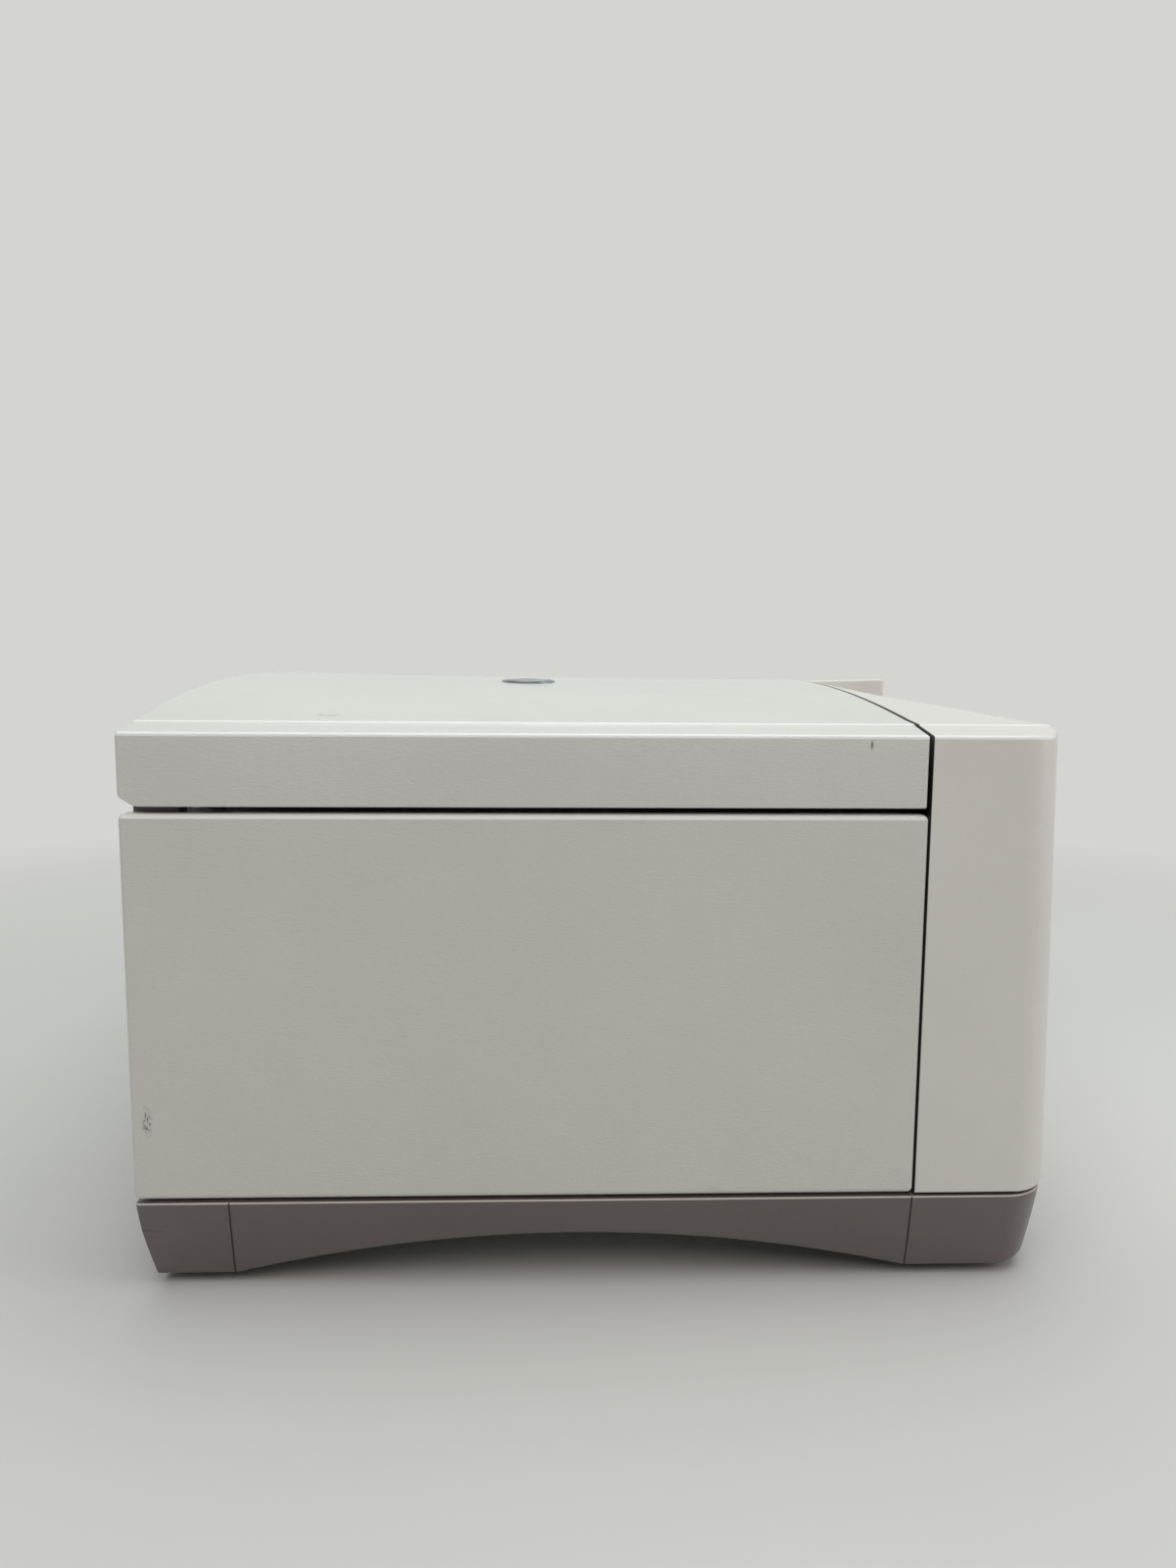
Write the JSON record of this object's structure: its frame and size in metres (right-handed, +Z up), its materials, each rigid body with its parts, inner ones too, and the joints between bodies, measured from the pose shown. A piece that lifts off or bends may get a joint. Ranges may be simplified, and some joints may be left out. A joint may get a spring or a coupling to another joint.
{
  "type": "microplate centrifuge",
  "caption": "Refrigerated bench centrifuge for microplates, with a hinged crowned lid, swing-out plate buckets, a side console and a drawn-in plinth with raised arches.",
  "frame": {"origin": "middle of the footprint, at the plane that the feet stand on", "axes": "+X to the front, +Y across the machine to the cooling side, +Z up"},
  "size_m": [0.55, 0.64, 0.337],
  "materials": {
    "lid_paint": "fine orange-peel texture, satin",
    "panel_paint": "fine leathery powder coat, satin",
    "front_paint": "painted moulding, fine texture",
    "plinth_plastic": "moulded taupe plastic, fine texture",
    "sheet_steel": "zinc-plated sheet",
    "bowl_steel": "spun stainless steel",
    "machined_steel": "ground",
    "bright_steel": "polished",
    "latch_steel": "plated",
    "hinge_black": "dark satin coat",
    "strut_black": "black lacquer",
    "seal_rubber": "matt",
    "foot_rubber": "matt",
    "foam": "closed-cell foam",
    "copper": "dull copper tube",
    "winding": "varnished winding and laminations",
    "motor_cast": "cast, grey coat",
    "compressor_black": "black gloss lacquer",
    "fin_aluminium": "mill finish",
    "black_plastic": "moulded",
    "board_green": "solder mask",
    "plate_grey": "printed-free control plate",
    "display_glass": "dark gloss window",
    "key_grey": "moulded key",
    "key_green": "moulded key",
    "key_red": "moulded key",
    "rim_plastic": "blue-grey moulded rim",
    "window_clear": "tinted clear plastic",
    "rotor_aluminium": "hard anodised",
    "bucket_aluminium": "anodised",
    "nut_black": "moulded knob"
  },
  "bodies": {
    "housing": {"base_skirt_left": "plinth_plastic", "base_skirt_right": "plinth_plastic", "base_skirt_rear": "plinth_plastic", "base_skirt_front": "plinth_plastic", "chassis_plate": "sheet_steel", "rubber_feet": "foot_rubber", "side_panel_left": "panel_paint", "side_panel_right": "panel_paint", "rear_panel": "panel_paint", "partition_wall": "sheet_steel", "top_deck": "sheet_steel", "chamber_seal": "seal_rubber", "chamber_bowl": "bowl_steel", "evaporator_coil": "copper", "bowl_insulation": "foam", "motor_housing": "motor_cast", "motor_stator": "winding", "motor_dampers": "foot_rubber", "motor_bearings": "bright_steel", "compressor": "compressor_black", "condenser": "fin_aluminium", "refrigerant_pipes": "copper", "fan_shroud": "black_plastic", "fan_guard": "hinge_black", "control_board": "board_green", "mains_inlet": "black_plastic", "panel_screws": "bright_steel", "front_panel": "front_paint", "console_shell": "front_paint", "display_lens": "display_glass", "keypad_plate": "plate_grey", "right_cover": "lid_paint", "latch_housings": "latch_steel", "hinge_brackets": "hinge_black", "strut_cylinders": "strut_black", "tray_runners": "sheet_steel"},
    "lid": {"lid_cover": "lid_paint", "lid_liner": "panel_paint", "window_bezel": "rim_plastic", "window_lens": "window_clear", "lid_strikers": "latch_steel", "hinge_arms": "latch_steel", "hinge_pins": "bright_steel"},
    "strut_left": {"strut_rod_left": "bright_steel"},
    "strut_right": {"strut_rod_right": "bright_steel"},
    "rotor": {"drive_shaft": "machined_steel", "rotor_yoke": "rotor_aluminium", "rotor_nut": "nut_black"},
    "bucket_a": {"plate_bucket_a": "bucket_aluminium"},
    "bucket_b": {"plate_bucket_b": "bucket_aluminium"},
    "latch": {"latch_bar": "latch_steel"},
    "fan": {"fan_blades": "black_plastic"},
    "switch": {"mains_switch": "black_plastic"},
    "open_key": {"key_open": "key_grey"},
    "start_key": {"key_start": "key_green"},
    "stop_key": {"key_stop": "key_red"},
    "temperature_key": {"key_temperature": "key_grey"},
    "time_key": {"key_time": "key_grey"},
    "speed_key": {"key_speed": "key_grey"},
    "tray": {"drip_tray": "plinth_plastic"}
  },
  "joints": [
    {"name": "lid_hinge", "type": "hinge", "parent": "housing", "child": "lid", "pos_m": [-0.26, -0.085, 0.295], "axis": [0, -1, 0], "range_deg": [0, 70]},
    {"name": "strut_left_slide", "type": "slide", "parent": "housing", "child": "strut_left", "axis": [0, 0, 1], "range_m": [0, 0.0345]},
    {"name": "strut_right_slide", "type": "slide", "parent": "housing", "child": "strut_right", "axis": [0, 0, 1], "range_m": [0, 0.0345]},
    {"name": "rotor_spin", "type": "hinge", "parent": "housing", "child": "rotor", "pos_m": [-0.064, -0.085, 0.203], "axis": [0, 0, 1], "continuous": true},
    {"name": "bucket_a_swing", "type": "hinge", "parent": "rotor", "child": "bucket_a", "pos_m": [0.016, -0.085, 0.203], "axis": [0, -1, 0], "range_deg": [0, 90]},
    {"name": "bucket_b_swing", "type": "hinge", "parent": "rotor", "child": "bucket_b", "pos_m": [-0.144, -0.085, 0.203], "axis": [0, 1, 0], "range_deg": [0, 90]},
    {"name": "latch_turn", "type": "hinge", "parent": "housing", "child": "latch", "pos_m": [0.146, -0.085, 0.2358], "axis": [0, -1, 0], "range_deg": [0, 40]},
    {"name": "fan_spin", "type": "hinge", "parent": "housing", "child": "fan", "pos_m": [0.034, 0.27, 0.146], "axis": [0, 1, 0], "continuous": true},
    {"name": "mains_rocker", "type": "hinge", "parent": "housing", "child": "switch", "pos_m": [-0.27, 0.247, 0.087], "axis": [0, -1, 0], "range_deg": [0, 20]},
    {"name": "open_press", "type": "slide", "parent": "housing", "child": "open_key", "axis": [-1, 0, 0], "range_m": [0, 0.0008], "stiffness_N_per_m": 900},
    {"name": "start_press", "type": "slide", "parent": "housing", "child": "start_key", "axis": [-1, 0, 0], "range_m": [0, 0.0008], "stiffness_N_per_m": 900},
    {"name": "stop_press", "type": "slide", "parent": "housing", "child": "stop_key", "axis": [-1, 0, 0], "range_m": [0, 0.0008], "stiffness_N_per_m": 900},
    {"name": "temperature_rock", "type": "hinge", "parent": "housing", "child": "temperature_key", "pos_m": [0.269, 0.193, 0.208], "axis": [0, 1, 0], "range_deg": [-4, 4], "stiffness_Nm_per_rad": 0.5},
    {"name": "time_rock", "type": "hinge", "parent": "housing", "child": "time_key", "pos_m": [0.269, 0.235, 0.208], "axis": [0, 1, 0], "range_deg": [-4, 4], "stiffness_Nm_per_rad": 0.5},
    {"name": "speed_rock", "type": "hinge", "parent": "housing", "child": "speed_key", "pos_m": [0.269, 0.277, 0.208], "axis": [0, 1, 0], "range_deg": [-4, 4], "stiffness_Nm_per_rad": 0.5},
    {"name": "tray_slide", "type": "slide", "parent": "housing", "child": "tray", "axis": [1, 0, 0], "range_m": [0, 0.12]}
  ],
  "couplings": [
    {"joint": "strut_left_slide", "follows": "lid_hinge", "m_per_rad": 0.028169},
    {"joint": "strut_right_slide", "follows": "lid_hinge", "m_per_rad": 0.028169}
  ]
}
